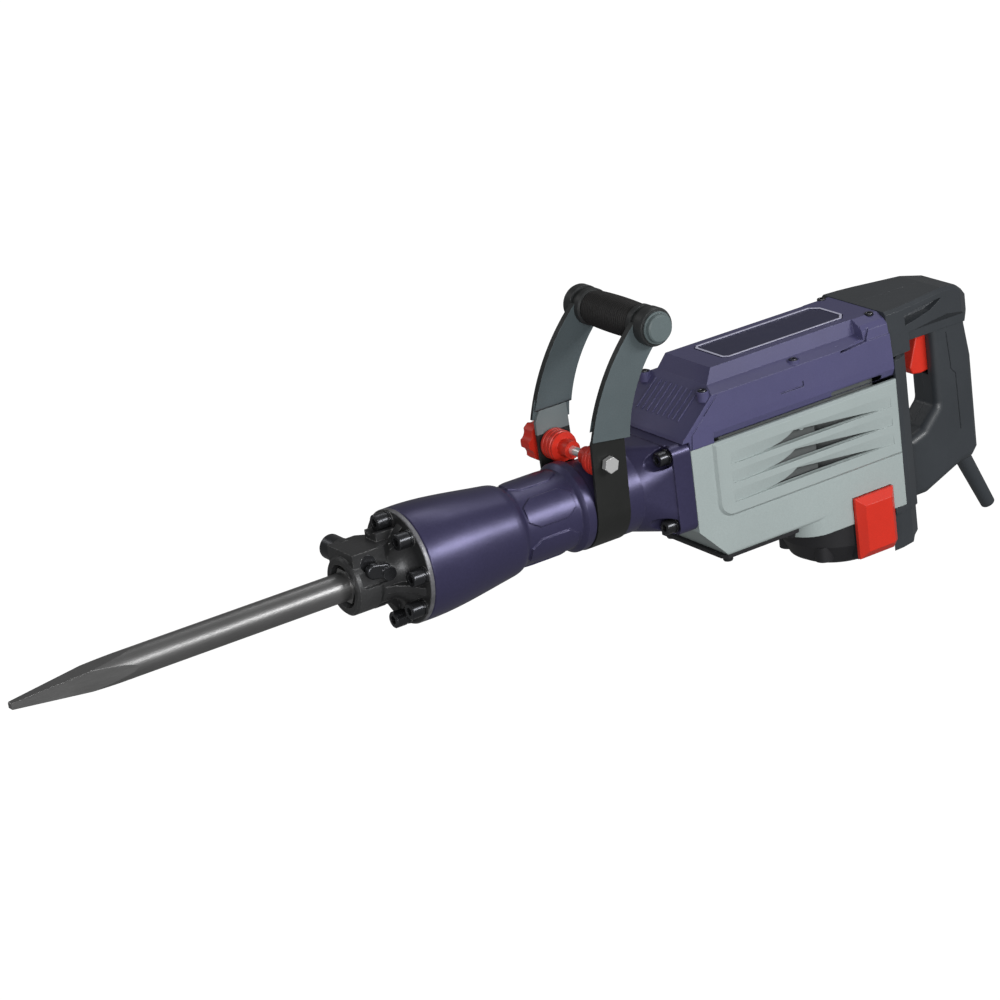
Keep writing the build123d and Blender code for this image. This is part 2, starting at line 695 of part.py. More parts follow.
COMMUTATOR_BARS = 24
with BuildPart() as commutator:
    with BuildSketch(level(-106)):
        with Locations((MOTOR_X, 0)):
            Circle(16)
            Circle(6.01, mode=Mode.SUBTRACT)
            with PolarLocations(15.6, COMMUTATOR_BARS):
                Rectangle(1.6, 0.5, mode=Mode.SUBTRACT)
    extrude(amount=24)
write(commutator.part, "commutator")

FAN_BLADES = 9
with BuildPart() as cooling_fan:
    with BuildSketch(level(-9.5)):
        with Locations((MOTOR_X, 0)):
            Circle(35)
            Circle(6.01, mode=Mode.SUBTRACT)
    extrude(amount=2)
    with BuildSketch(level(-7.5)):
        with Locations((MOTOR_X, 0)):
            Circle(11)
            Circle(6.01, mode=Mode.SUBTRACT)
            with PolarLocations(22.5, FAN_BLADES):
                Rectangle(24, 1.8, rotation=18)
    extrude(amount=12)
write(cooling_fan.part, "cooling_fan")

armature_bearings = [race(MOTOR_X, 6.05, 13.97, *LOWER_RACE), race(MOTOR_X, 5.05, 11, -122, -113)]
gather(gear_bearings + armature_bearings, "bearings")

STATOR_R = 40.0
with BuildPart() as stator:
    with BuildSketch(level(-70)):
        with Locations((MOTOR_X, 0)):
            Circle(STATOR_R)
            Circle(25.2, mode=Mode.SUBTRACT)
            with Locations((0, 30), (0, -30)):
                Rectangle(30, 9, mode=Mode.SUBTRACT)
    extrude(amount=58)
write(stator.part, "stator")

field_coils = []
for way in (1, -1):
    with BuildPart() as coil:
        with BuildSketch(level(-76)):
            with Locations((MOTOR_X, 30 * way)):
                Rectangle(29, 8)
        extrude(amount=64)
    field_coils.append(coil.part)
gather(field_coils, "field_coils")

# brushes on the commutator, each in a holder that its red cover closes
BRUSH_Z = -94.0
COVER_CENTRE_X = 518.5
brush_holders = []
carbon_brushes = []
for way in (1, -1):
    with BuildPart() as holder:
        with BuildSketch(side(18 * way)):
            with Locations((MOTOR_X, BRUSH_Z)):
                Rectangle(14, 20)
                Rectangle(8.4, 14.4, mode=Mode.SUBTRACT)
        extrude(amount=-28 * way)
    brush_holders.append(holder.part)
    with BuildPart() as brush:
        with BuildSketch(side(16.3 * way)):
            with Locations((MOTOR_X, BRUSH_Z)):
                Rectangle(8, 14)
        extrude(amount=-18 * way)
    carbon_brushes.append(brush.part)
gather(brush_holders, "brush_holders")
gather(carbon_brushes, "carbon_brushes")

# ---- motor housing ------------------------------------------------------------------------
DOME_R = 52.0
DOME_BOTTOM_Z = -130.0
COVER_PAD_W, COVER_PAD_H = 43.0, 56.0
with BuildPart() as motor_housing:
    with BuildSketch(Plane.XZ):
        polygon(
            [
                (MOTOR_X, DOME_BOTTOM_Z), (MOTOR_X + 38, DOME_BOTTOM_Z), (MOTOR_X + 45, -126),
                (MOTOR_X + DOME_R, -110), (MOTOR_X + DOME_R, -75), (MOTOR_X + 45, -72),
                (MOTOR_X + 45, WEB_Z - 0.5), (MOTOR_X + 41, WEB_Z - 0.5), (MOTOR_X + 41, -78),
                (MOTOR_X + 47, -80), (MOTOR_X + 47, -108), (MOTOR_X + 40, -124), (MOTOR_X, -124),
            ]
        )
    revolve(axis=Axis((MOTOR_X, 0, 0), (0, 0, 1)))
    # seat of the lower bearing
    with BuildSketch(level(-124.5)):
        with Locations((MOTOR_X, 0)):
            Circle(15)
            Circle(11.03, mode=Mode.SUBTRACT)
    extrude(amount=12)
    # flat faces at both sides that carry the brush covers
    for way in (1, -1):
        with BuildSketch(side(40 * way)):
            with Locations((COVER_CENTRE_X, -95)):
                Rectangle(COVER_PAD_W, COVER_PAD_H)
        extrude(amount=-12.5 * way)
    with BuildSketch(level(-100)):
        with Locations((MOTOR_X, 0)):
            Circle(46)
    extrude(amount=30, mode=Mode.SUBTRACT)
    # windows for the brush holders
    with BuildSketch(side(0)):
        with Locations((MOTOR_X, BRUSH_Z)):
            Rectangle(15, 21)
    extrude(amount=60, both=True, mode=Mode.SUBTRACT)
    # lug and notch at the front of the base
    with BuildSketch(level(-124)):
        with Locations((MOTOR_X - 36, -26)):
            Circle(9)
        with Locations((MOTOR_X - 36, 26)):
            Circle(9)
    extrude(amount=14)
write(motor_housing.part, "motor_housing")

# brush covers, bevelled all round
COVER_W, COVER_H = 44.0, 58.0
COVER_Z = -93.0
brush_covers = []
for way in (-1, 1):
    with BuildPart() as brush_cover:
        with BuildSketch(side(52.7 * way)):
            polygon(
                [
                    (COVER_CENTRE_X - COVER_W / 2, COVER_Z + COVER_H / 2),
                    (COVER_CENTRE_X + COVER_W / 2, COVER_Z + COVER_H / 2),
                    (COVER_CENTRE_X + COVER_W / 2, COVER_Z - COVER_H / 2 + 6),
                    (COVER_CENTRE_X + COVER_W / 2 - 5, COVER_Z - COVER_H / 2),
                    (COVER_CENTRE_X - COVER_W / 2, COVER_Z - COVER_H / 2),
                ]
            )
        extrude(amount=-9.5 * way)
        outer_face = brush_cover.faces().sort_by(Axis.Y)[-1 if way > 0 else 0]
        chamfer(outer_face.edges(), 7, 6, reference=outer_face)
        fillet(brush_cover.faces().sort_by(Axis.Y)[-1 if way > 0 else 0].edges(), 0.8)
        with BuildSketch(side(52.7 * way)):
            with Locations((COVER_CENTRE_X, COVER_Z)):
                Rectangle(COVER_W - 14, COVER_H - 14)
        extrude(amount=-6.5 * way, mode=Mode.SUBTRACT)
    brush_covers.append(brush_cover.part)
gather(brush_covers, "brush_covers")

# ---- grey side covers ---------------------------------------------------------------------
PLATEAU = 2.5
LOUVER_PITCH = 17.6
LOUVER_Z = [9.5 - LOUVER_PITCH * k for k in range(3)]
LOUVER_START, LOUVER_DEEP, LOUVER_END = 367.0, 448.0, 547.0


def side_cover(way):
    """Half shell of the lower casing; way is +1 on the right, -1 on the left."""
    outside = HOUSING_HALF_WIDTH * way
    inside = (HOUSING_HALF_WIDTH - WALL) * way
    with BuildPart() as cover:
        with BuildSketch(side(outside)):
            polygon([(327.3, 33), (327.3, -43), (357, -74), (556.9, -74), (556.9, 33)])
        extrude(amount=(HOUSING_HALF_WIDTH - 0.15) * way)
        outline = cover.faces().sort_by(Axis.Y)[-1 if way > 0 else 0].edges()
        fillet(outline.filter_by(GeomType.LINE).group_by(Axis.Z)[0], 4)
        # raised field that carries the louvers
        with BuildSketch(side(outside)):
            with BuildLine():
                Polyline((557, 33), (350, 33), (350, -20))
                ThreePointArc((350, -20), (354, -33), (366, -38))
                Polyline((366, -38), (557, -38), (557, 33))
            make_face()
        extrude(amount=-PLATEAU * way, taper=45)
        # skirt round the motor housing, with a rounded front corner
        with BuildSketch(level(-88)) as skirt:
            with Locations((498.45, 26.5 * way)):
                Rectangle(116.9, 53)
            corner = skirt.vertices().group_by(Axis.X)[0].sort_by(Axis.Y)[-1 if way > 0 else 0]
            fillet(corner, 28)
        extrude(amount=22)
        # hollow inside
        with BuildSketch(side(inside)):
            polygon([(320, 40), (320, -38.7), (327.3, -38.7), (358.3, -71), (560, -71), (560, 40)])
        extrude(amount=60 * way, mode=Mode.SUBTRACT)
        with BuildSketch(level(-89)) as hollow:
            with Locations((502, 24.5 * way)):
                Rectangle(118, 51)
            corner = hollow.vertices().group_by(Axis.X)[0].sort_by(Axis.Y)[-1 if way > 0 else 0]
            fillet(corner, 25)
        extrude(amount=15, mode=Mode.SUBTRACT)
        with BuildSketch(level(-75)):
            with Locations((MOTOR_X, 0)):
                Circle(DOME_R + 0.5)
        extrude(amount=12, mode=Mode.SUBTRACT)
        # notch for the brush cover
        with BuildSketch(side(outside + 5 * way)):
            with Locations((COVER_CENTRE_X, COVER_Z)):
                Rectangle(COVER_W + 1.2, COVER_H + 1.2)
        extrude(amount=12 * way, mode=Mode.SUBTRACT)
        # three louvers that slope inwards to a sharp lower lip, each with an opening
        for z in LOUVER_Z:
            for x, depth in ((LOUVER_START, 1.1), (LOUVER_DEEP, 5.0), (LOUVER_END, 0.6)):
                with BuildSketch(across(x)):
                    top = (outside + 2.6 * way, z + 12)
                    polygon([top, (outside + (2.6 - depth) * way, z), (outside + 2.6 * way, z)])
            loft(ruled=True, mode=Mode.SUBTRACT)
            with BuildSketch(side(outside + 4 * way)):
                polygon(
                    [
                        (400, z + 0.4), (534, z + 0.4), (456, z + 8.4), (437, z + 10.6), (432, z + 6.8),
                        (424, z + 3.4), (413, z + 1.2),
                    ]
                )
            extrude(amount=12 * way, mode=Mode.SUBTRACT)
        # screw boss behind the top opening
        with BuildSketch(side(49 * way)):
            with Locations((449.5, 19.4)):
                Circle(3.6)
                Circle(1.6, mode=Mode.SUBTRACT)
        extrude(amount=-1.8 * way)
    return cover.part


write(side_cover(-1), "side_cover_left")
write(side_cover(1), "side_cover_right")

# base plate under the front of the casing, with its screws
with BuildPart() as base_plate:
    with BuildSketch(level(-77.6)):
        polygon(
            [
                (353, -44), (357, -50), (436, -50), (439.6, -44),
                (439.6, 44), (436, 50), (357, 50), (353, 44),
            ]
        )
    extrude(amount=3.3)
write(base_plate.part, "base_plate")
base_screws = []
for x in (362, 432):
    for y in (-42, 42):
        head = upright(x, [(0, -82.5), (4, -82.5), (4.6, -81.5), (4.6, -77.7), (0, -77.7)])
        base_screws.append(Pos(0, y, 0) * head)

# ---- blue top cover -----------------------------------------------------------------------
LEDGE_SCREWS = [(353, 43), (453, 43), (353, -43), (453, -43)]
REAR_SCREWS = [(548, 34), (548, -34)]


def top_section(wide, shoulder_y, shoulder_z, ledge_y, ledge_z, crown_y, crown_z, foot_z):
    """Symmetric cross-section of the top cover, as (y, z) points."""
    right = [
        (-wide, foot_z), (-wide, 33), (-wide + 0.8, 50), (-shoulder_y, shoulder_z),
        (-ledge_y, ledge_z), (-crown_y, crown_z),
    ]
    return right + [(-y, z) for y, z in reversed(right)]


with BuildPart() as top_cover:
    with BuildSketch(across(300)):
        polygon(top_section(53, 50, 75, 36.5, 80, 33, TOP_Z, 20))
    extrude(amount=HOUSING_REAR_X - 0.2 - 300)
    # full-height block at the rear
    with BuildSketch(across(528)):
        polygon(top_section(53, 47.5, 84, 43, 88.5, 34, TOP_Z, 20))
    extrude(amount=HOUSING_REAR_X - 0.2 - 528)
    # sloping front, crest and open underside
    with BuildSketch(side(0)):
        polygon(
            [
                (319.5, 41.4), (321.5, 44.5), (363, 80), (371, TOP_Z), (560, TOP_Z),
                (560, 33.2), (327.3, 33.2), (327.3, 41.4),
            ]
        )
    extrude(amount=60, both=True, mode=Mode.INTERSECT)
    with BuildPart(mode=Mode.SUBTRACT):
        with BuildSketch(across(280)):
            polygon(top_section(50, 47.2, 72.5, 34.3, 77.4, 30.7, TOP_Z - WALL, 10))
        extrude(amount=300)
        with BuildSketch(side(0)):
            polygon(
                [
                    (286, 10), (324, 42.4), (365.3, 78), (372.8, TOP_Z - WALL),
                    (570, TOP_Z - WALL), (570, 10),
                ]
            )
        extrude(amount=60, both=True, mode=Mode.INTERSECT)
    # bosses and seats for the screws
    for x, y in LEDGE_SCREWS:
        with BuildSketch(level(70)):
            with Locations((x, y)):
                Circle(5.6)
        extrude(amount=9.0)
    for points, z in ((LEDGE_SCREWS, 77.2), (REAR_SCREWS, 91.4)):
        with BuildSketch(level(z)):
            with Locations(points):
                Circle(4.2)
        extrude(amount=20, mode=Mode.SUBTRACT)
        with BuildSketch(level(z - 12)):
            with Locations(points):
                Circle(1.9)
        extrude(amount=13, mode=Mode.SUBTRACT)
    # upright ribs on the sloping front
    slope = Plane(origin=(344.6, 0, 64.26), x_dir=(0, 1, 0), z_dir=(-0.65, 0, 0.76))
    with BuildSketch(slope.offset(-0.5)):
        with GridLocations(7.6, 1, 9, 1):
            SlotOverall(32, 1.7, rotation=90)
    extrude(amount=1.4)
    # recess for the badge
    with BuildSketch(level(TOP_Z - 1.2)):
        polygon([(393, -20), (398, -25), (525, -25), (533, -16), (533, 16), (525, 25), (398, 25), (393, 20)])
    extrude(amount=5, mode=Mode.SUBTRACT)
    for way in (1, -1):
        # long channel above the side cover, with an air slot in it
        with BuildSketch(across(353)):
            polygon([(way * 60, 32), (way * 49.6, 32), (way * 49.9, 36), (way * 53.5, 45)])
        extrude(amount=HOUSING_REAR_X - 353, mode=Mode.SUBTRACT)
        with BuildSketch(side(55 * way)):
            with Locations((514, 38.5)):
                SlotOverall(58, 4.6)
        extrude(amount=14 * way, mode=Mode.SUBTRACT)
        # parting groove between the front panel and the side
        with BuildSketch(side(56 * way)):
            polygon([(327.6, 33), (329.6, 33), (331.4, 46), (346.2, 58.8), (344.9, 60.3), (329.7, 47)])
        extrude(amount=4.6 * way, mode=Mode.SUBTRACT)
        with BuildSketch(side(56 * way)):
            polygon([(344.9, 60.3), (346.2, 58.8), (366.2, 76.2), (364.9, 77.7)])
        extrude(amount=6.4 * way, mode=Mode.SUBTRACT)
        # drain notch in the side
        with BuildSketch(side(56 * way)):
            polygon([(430, 55), (456, 55), (456, 60), (454.6, 60), (454.6, 56.4), (430, 56.4)])
        extrude(amount=6.2 * way, mode=Mode.SUBTRACT)
        # two chevron grooves behind the ledge
        for step in (0, 7):
            with BuildSketch(side(56 * way)):
                polygon(
                    [
                        (531 + step, 96), (522 + step, 82 - step * 0.7), (500, 79 - step * 0.7),
                        (500, 77 - step * 0.7), (524 + step, 80 - step * 0.7), (534 + step, 96),
                    ]
                )
            extrude(amount=(13 - step * 0.4) * way, mode=Mode.SUBTRACT)
write(top_cover.part, "top_cover")

top_screws = []
for points, z in ((LEDGE_SCREWS, 77.3), (REAR_SCREWS, 91.5)):
    for x, y in points:
        top_screws.append(Pos(x, y, z) * socket_screw(3.9, 2.6, 1.8, 11))
gather(base_screws + top_screws, "housing_screws")

# badge: plain plate with a raised rim
BADGE = [
    (394, -19.6), (398.6, -24.2), (524.6, -24.2), (532, -15.6),
    (532, 15.6), (524.6, 24.2), (398.6, 24.2), (394, 19.6),
]
with BuildPart() as badge_plate:
    with BuildSketch(level(TOP_Z - 1.1)):
        polygon(BADGE)
    extrude(amount=1.7)
    with BuildSketch(level(TOP_Z - 0.1)):
        polygon(BADGE)
        offset(amount=-2.2, kind=Kind.INTERSECTION, mode=Mode.REPLACE)
    extrude(amount=2, mode=Mode.SUBTRACT)
write(badge_plate.part, "badge_plate")

# ---- black rear housing -------------------------------------------------------------------
BODY_REAR_X = 592.0
PLAN = [(562, 53), (574, 47), (586, 31), (BODY_REAR_X, 14)]
TAIL_PLAN = [(540, 40), (560, 39), (575, 35.5), (588, 27), (BODY_REAR_X + 0.5, 14), (600, 14)]
SEAM_Z = 50.0
with BuildPart() as rear_housing:
    with BuildSketch(side(0)):
        polygon(
            [
                (557.2, SEAM_Z - 0.2), (BODY_REAR_X, SEAM_Z - 0.2), (BODY_REAR_X, -120), (588, -124),
                (588, -128.5), (579, -130.5), (575, -135), (544.5, -135),
                (544.5, -88.5), (557.2, -88.5),
            ]
        )
    extrude(amount=60, both=True)
    with BuildSketch(level(-140)):
        polygon([(540, -53), *[(x, -y) for x, y in PLAN], *reversed(PLAN), (540, 53)])
    extrude(amount=200, mode=Mode.INTERSECT)
    # upper part set back behind the hand, lower part drawn in on both sides
    with BuildSketch(side(0)):
        polygon([(584, 60), (584, 20), (BODY_REAR_X + 1, 2), (600, 2), (600, 60)])
    extrude(amount=60, both=True, mode=Mode.SUBTRACT)
    for way in (1, -1):
        with BuildSketch(level(-140)):
            polygon([(540, way * 60), *[(x, way * y) for x, y in TAIL_PLAN], (600, way * 60)])
        extrude(amount=46, mode=Mode.SUBTRACT)
    # rubber stop on the back, to the left
    with BuildSketch(across(580.6)):
        with Locations((-13, 15)):
            Circle(4)
    extrude(amount=13.6)
    # hollow behind the casing
    with BuildSketch(level(-85)):
        polygon(
            [
                (556, -49.5), (560, -49.5), (567, -44), (576, -30), (580.5, -14),
                (580.5, 14), (576, 30), (567, 44), (560, 49.5), (556, 49.5),
            ]
        )
    extrude(amount=SEAM_Z + 90, mode=Mode.SUBTRACT)
    with BuildSketch(level(-128)):
        polygon(
            [
                (541, -36), (560, -35), (572, -30), (581, -20), (584, -10),
                (584, 10), (581, 20), (572, 30), (560, 35), (541, 36),
            ]
        )
    extrude(amount=36, mode=Mode.SUBTRACT)
    with BuildSketch(level(-140)):
        with Locations((MOTOR_X, 0)):
            Circle(DOME_R + 0.4)
    extrude(amount=67, mode=Mode.SUBTRACT)
    with BuildSketch(level(-80)):
        with Locations((MOTOR_X, 0)):
            Circle(45.4)
    extrude(amount=110, mode=Mode.SUBTRACT)
write(rear_housing.part, "rear_housing")

# ---- rear handle --------------------------------------------------------------------------
WINDOW_FRONT_X = BODY_REAR_X + 0.2
GRIP_FRONT_X = 630.0
GRIP_HALF_WIDTH = 19.0
SHELL_INSET = 4.0
GUARD_START = (664.0, -78.0)
GUARD_END = (695.0, -143.0)
D_OUTLINE = [
    (GRIP_FRONT_X, 60), (GRIP_FRONT_X, -22), (612, -40), (WINDOW_FRONT_X, -46),
    (WINDOW_FRONT_X, -103), (611, -103), (654, -86), (668, -84.5), (677, -74), (679, -40),
    (677.5, 2), (671.5, 46), (671.5, 60),
]

with BuildPart() as handle_body:
    with BuildSketch(side(0)) as loop:
        polygon(D_OUTLINE)
        corners = [v for v in loop.vertices() if v.Y < 45 and v.X > WINDOW_FRONT_X + 1]
        fillet(corners, 7)
    extrude(amount=GRIP_HALF_WIDTH, both=True)
    rims = handle_body.faces().filter_by(Axis.Y)
    fillet([e for f in rims for e in f.edges()], 8)
    # bridge from the casing back over the hand
    with BuildSketch(side(0)):
        polygon(
            [
                (557.3, SEAM_Z), (557.3, 93.5), (636, 92.5), (657, 88.5), (671, 79), (678.5, 66),
                (672, 55), (668, SEAM_Z),
            ]
        )
    extrude(amount=50, both=True)
with BuildPart() as handle_plan:
    with BuildSketch(level(-120)):
        polygon(
            [
                (550, -46), (574, -44.5), (590, -42), (640, -31), (662, -24.5), (674, -16), (680, -6),
                (680, 6), (674, 16), (662, 24.5), (640, 31), (590, 42), (574, 44.5), (550, 46),
            ]
        )
    extrude(amount=230)
with BuildPart() as handle:
    add(handle_body.part)
    add(handle_plan.part, mode=Mode.INTERSECT)
    top_rim = [
        e for e in handle.edges()
        if e.center().Z > 80 and abs(e.center().Y) > 12 and 562 < e.center().X < 676
        and abs(e.tangent_at(0.5).Z) < 0.75
    ]
    chamfer(top_rim, 3)
    for way in (1, -1):
        # raised underside beside the central web, then a scoop in the flank
        with BuildSketch(across(584)):
            polygon([(way * a, b) for a, b in ((20.5, 49), (20.5, 58), (31, 67), (60, 67), (60, 49))])
        extrude(amount=110, mode=Mode.SUBTRACT)
        with BuildSketch(side(60 * way)):
            polygon([(576, 72.5), (576, 86), (600, 88), (640, 86.5), (645, 84.5), (620, 76)])
        with BuildSketch(side(29 * way)):
            polygon([(584, 76), (584, 83.5), (600, 85), (628, 84.5), (631, 83.8), (614, 78.5)])
        loft(mode=Mode.SUBTRACT)
        # edge of the soft overmould on the grip
        with BuildSketch(side(22 * way)):
            polygon(
                [
                    (645.2, 45), (646.4, 45), (649.2, 8.4), (653.8, 3.6), (655, -52), (653.8, -52),
                    (652.6, 3), (648, 8),
                ]
            )
        extrude(amount=3.8 * way, mode=Mode.SUBTRACT)
    # hollow for the switch, opening for the trigger
    with BuildSketch(side(0)):
        polygon(
            [
                (634.5, 72), (634.5, -26), (619, -42), (600, -52), (600, -96), (612, -97),
                (656, -80.5), (666, -79), (672, -71), (674, -38), (672.5, 4), (666.5, 50), (664, 72),
            ]
        )
    extrude(amount=GRIP_HALF_WIDTH - SHELL_INSET, both=True, mode=Mode.SUBTRACT)
    with BuildSketch(side(0)):
        polygon(
            [
                (561, SEAM_Z - 1), (561, 89), (632, 88), (640, 84), (640, 56), (634, 56), (628, 54),
                (628, SEAM_Z + 4), (600, SEAM_Z + 4), (600, SEAM_Z - 1),
            ]
        )
    extrude(amount=14.5, both=True, mode=Mode.SUBTRACT)
    with BuildSketch(side(0)):
        polygon([(622, 6), (650, 6), (650, 53.5), (618, 53.5), (618, 40)])
    extrude(amount=8.2, both=True, mode=Mode.SUBTRACT)
    # hole that the cord guard sits in
    guard_axis = Vector(GUARD_END[0] - GUARD_START[0], 0, GUARD_END[1] - GUARD_START[1]).normalized()
    guard_plane = Plane(origin=(GUARD_START[0], 0, GUARD_START[1]), x_dir=(0, 1, 0), z_dir=guard_axis)
    with BuildSketch(guard_plane):
        Circle(8.3)
    extrude(amount=40, mode=Mode.SUBTRACT)
    # bosses for the trigger pin
    for way in (1, -1):
        with BuildSketch(side(8.3 * way)):
            with Locations((TRIGGER_PIVOT_X, TRIGGER_PIVOT_Z)):
                Circle(5.5)
        extrude(amount=-7.5 * way)
    with BuildSketch(side(0)):
        with Locations((TRIGGER_PIVOT_X, TRIGGER_PIVOT_Z)):
            Circle(2.02)
    extrude(amount=13, both=True, mode=Mode.SUBTRACT)

for way, label in ((-1, "handle_shell_left"), (1, "handle_shell_right")):
    with BuildPart() as shell:
        add(handle.part)
        with BuildSketch(side(0.05 * way)):
            with Locations((620, 0)):
                Rectangle(300, 400)
        extrude(amount=-60 * way, mode=Mode.INTERSECT)
    write(shell.part, label)

# ---- switch, trigger and cord guard -------------------------------------------------------
with BuildPart() as switch_body:
    with BuildSketch(side(0)):
        with Locations((660, 24)):
            RectangleRounded(12, 40, 2)
    extrude(amount=12, both=True)
    with BuildSketch(side(0)):
        with Locations((652.5, 20)):
            Rectangle(4, 10)
    extrude(amount=4, both=True)
write(switch_body.part, "switch_body")

with BuildPart() as trigger:
    with BuildSketch(side(0)) as paddle:
        polygon(
            [
                (628, 51), (642, 51), (644, 44), (644, 24), (638, 11), (623, 9), (613, 10.5),
                (610.5, 17), (621, 47),
            ]
        )
        fillet([v for v in paddle.vertices() if v.X < 630], 2.5)
    extrude(amount=7.2, both=True)
    fillet(trigger.faces().filter_by(Axis.Y).edges().filter_by(lambda e: e.center().X < 631), 1.8)
    with BuildSketch(side(0)):
        with Locations((TRIGGER_PIVOT_X, TRIGGER_PIVOT_Z)):
            Circle(2.05)
    extrude(amount=20, both=True, mode=Mode.SUBTRACT)
write(trigger.part, "trigger")
with BuildPart() as trigger_pin:
    with BuildSketch(side(12.5)):
        with Locations((TRIGGER_PIVOT_X, TRIGGER_PIVOT_Z)):
            Circle(2.0)
    extrude(amount=25)
write(trigger_pin.part, "trigger_pin")

GUARD_LENGTH = Vector(GUARD_END[0] - GUARD_START[0], 0, GUARD_END[1] - GUARD_START[1]).length
with BuildPart() as cord_guard:
    with BuildSketch(guard_plane):
        Circle(8.2)
    with BuildSketch(guard_plane.offset(GUARD_LENGTH)):
        Circle(6.9)
    loft()
    with BuildSketch(guard_plane.offset(GUARD_LENGTH)):
        Circle(4.1)
    extrude(amount=-30, mode=Mode.SUBTRACT)
    fillet(cord_guard.edges().sort_by(Axis(guard_plane.origin, guard_plane.z_dir))[-2:], 0.8)
write(cord_guard.part, "cord_guard")

# ---- side handle --------------------------------------------------------------------------
STRAP_OUT_R, STRAP_THICK = 41.0, 3.0
EAR_SPREAD = 3.0
EAR_TOP_Z = 84.0
STRAP_FRONT_X = STRAP_X - STRAP_WIDTH / 2
with BuildPart() as clamp_strap:
    with BuildSketch(across(STRAP_FRONT_X)):
        with BuildLine():
            out = STRAP_OUT_R
            spread = EAR_SPREAD * EAR_TOP_Z / 70
            Line((-out - spread, EAR_TOP_Z), (-out, 0))
            ThreePointArc((-out, 0), (0, -out), (out, 0))
            Line((out, 0), (out + spread, EAR_TOP_Z))
            Line((out + spread, EAR_TOP_Z), (out + spread - STRAP_THICK, EAR_TOP_Z))
            Line((out + spread - STRAP_THICK, EAR_TOP_Z), (out - STRAP_THICK, 0))
            ThreePointArc((out - STRAP_THICK, 0), (0, -out + STRAP_THICK), (-out + STRAP_THICK, 0))
            Line((-out + STRAP_THICK, 0), (-out - spread + STRAP_THICK, EAR_TOP_Z))
            Line((-out - spread + STRAP_THICK, EAR_TOP_Z), (-out - spread, EAR_TOP_Z))
        make_face()
    extrude(amount=STRAP_WIDTH)
    # front edges of the ears, sloped to lie behind the arms
    with BuildSketch(side(0)):
        polygon([(230, 66), (233.2, 66), (246, 90), (230, 90)])
    extrude(amount=60, both=True, mode=Mode.SUBTRACT)
    with BuildSketch(side(0)):
        with Locations((CLAMP_X, CLAMP_Z)):
            Circle(4.15)
    extrude(amount=60, both=True, mode=Mode.SUBTRACT)
write(clamp_strap.part, "clamp_strap")

with BuildPart() as strap_liner:
    with BuildSketch(across(STRAP_FRONT_X + 1)):
        Circle(STRAP_OUT_R - STRAP_THICK - 0.05)
        Circle(NECK_R + 0.05, mode=Mode.SUBTRACT)
        with Locations((0, 33)):
            Rectangle(90, 50, mode=Mode.SUBTRACT)
    extrude(amount=STRAP_WIDTH - 2)
write(strap_liner.part, "strap_liner")


def handle_arm(way):
    """Curved flat arm that straddles the strap's ear and carries one end of the grip."""
    with BuildPart() as arm:
        with BuildSketch(side(47.4 * way)):
            with BuildLine():
                ThreePointArc((232, 68), (250, 113), (288, 160))
                Line((288, 160), (315, 144))
                ThreePointArc((315, 144), (283, 104), (270.5, 62.5))
                Line((270.5, 62.5), (232, 68))
            make_face()
            with Locations((GRIP_X, GRIP_Z)):
                Circle(15)
        extrude(amount=6.2 * way)
        with BuildSketch(across(200)):
            foot_y = (STRAP_OUT_R + 0.05) * way
            head_y = (STRAP_OUT_R + EAR_SPREAD * (EAR_TOP_Z + 1) / 70 + 0.05) * way
            polygon(
                [
                    (foot_y, -1), (head_y, EAR_TOP_Z + 1),
                    (head_y - (STRAP_THICK + 0.1) * way, EAR_TOP_Z + 1),
                    (foot_y - (STRAP_THICK + 0.1) * way, -1),
                ]
            )
        extrude(amount=100, mode=Mode.SUBTRACT)
        with BuildSketch(side(0)):
            with Locations((GRIP_X, GRIP_Z)):
                Circle(9.05)
        extrude(amount=60, both=True, mode=Mode.SUBTRACT)
    return arm.part


gather([handle_arm(-1), handle_arm(1)], "side_handle_arms")


def about_grip(profile):
    """Solid turned about the grip's axis, from (radius, y) points."""
    with BuildPart() as made:
        with BuildSketch(Plane.XY.offset(GRIP_Z)):
            polygon([(GRIP_X + r, y) for r, y in profile])
        revolve(axis=Axis((GRIP_X, 0, GRIP_Z), (0, 1, 0)))
    return made.part


GRIP_HALF = 34.0
write(about_grip([(6, -60), (9, -60), (9, 60), (6, 60)]), "grip_tube")
with BuildPart() as grip_rubber:
    with BuildSketch(Plane.XY.offset(GRIP_Z)):
        with BuildLine():
            Line((GRIP_X + 9.1, -GRIP_HALF), (GRIP_X + 15.6, -GRIP_HALF))
            ThreePointArc((GRIP_X + 15.6, -GRIP_HALF), (GRIP_X + 16.8, 0), (GRIP_X + 15.6, GRIP_HALF))
            Line((GRIP_X + 15.6, GRIP_HALF), (GRIP_X + 9.1, GRIP_HALF))
            Line((GRIP_X + 9.1, GRIP_HALF), (GRIP_X + 9.1, -GRIP_HALF))
        make_face()
    revolve(axis=Axis((GRIP_X, 0, GRIP_Z), (0, 1, 0)))
write(grip_rubber.part, "grip_rubber")
collars = []
caps = []
for way in (-1, 1):
    collar_profile = [(9.1, 34.2), (15.2, 34.2), (16.6, 35.6), (16.6, 41.0), (9.1, 41.0)]
    cap_profile = [
        (9.1, 47.6), (17.1, 47.6), (17.1, 56), (16.2, 58), (14.2, 58), (14.2, 60), (12.6, 60),
        (12.2, 63.5), (11, 64.5), (0, 64.5), (0, 60.3), (9.1, 60.3),
    ]
    collars.append(about_grip([(r, y * way) for r, y in collar_profile]))
    caps.append(about_grip([(r, y * way) for r, y in cap_profile]))
gather(collars, "grip_collars")
gather(caps, "grip_caps")


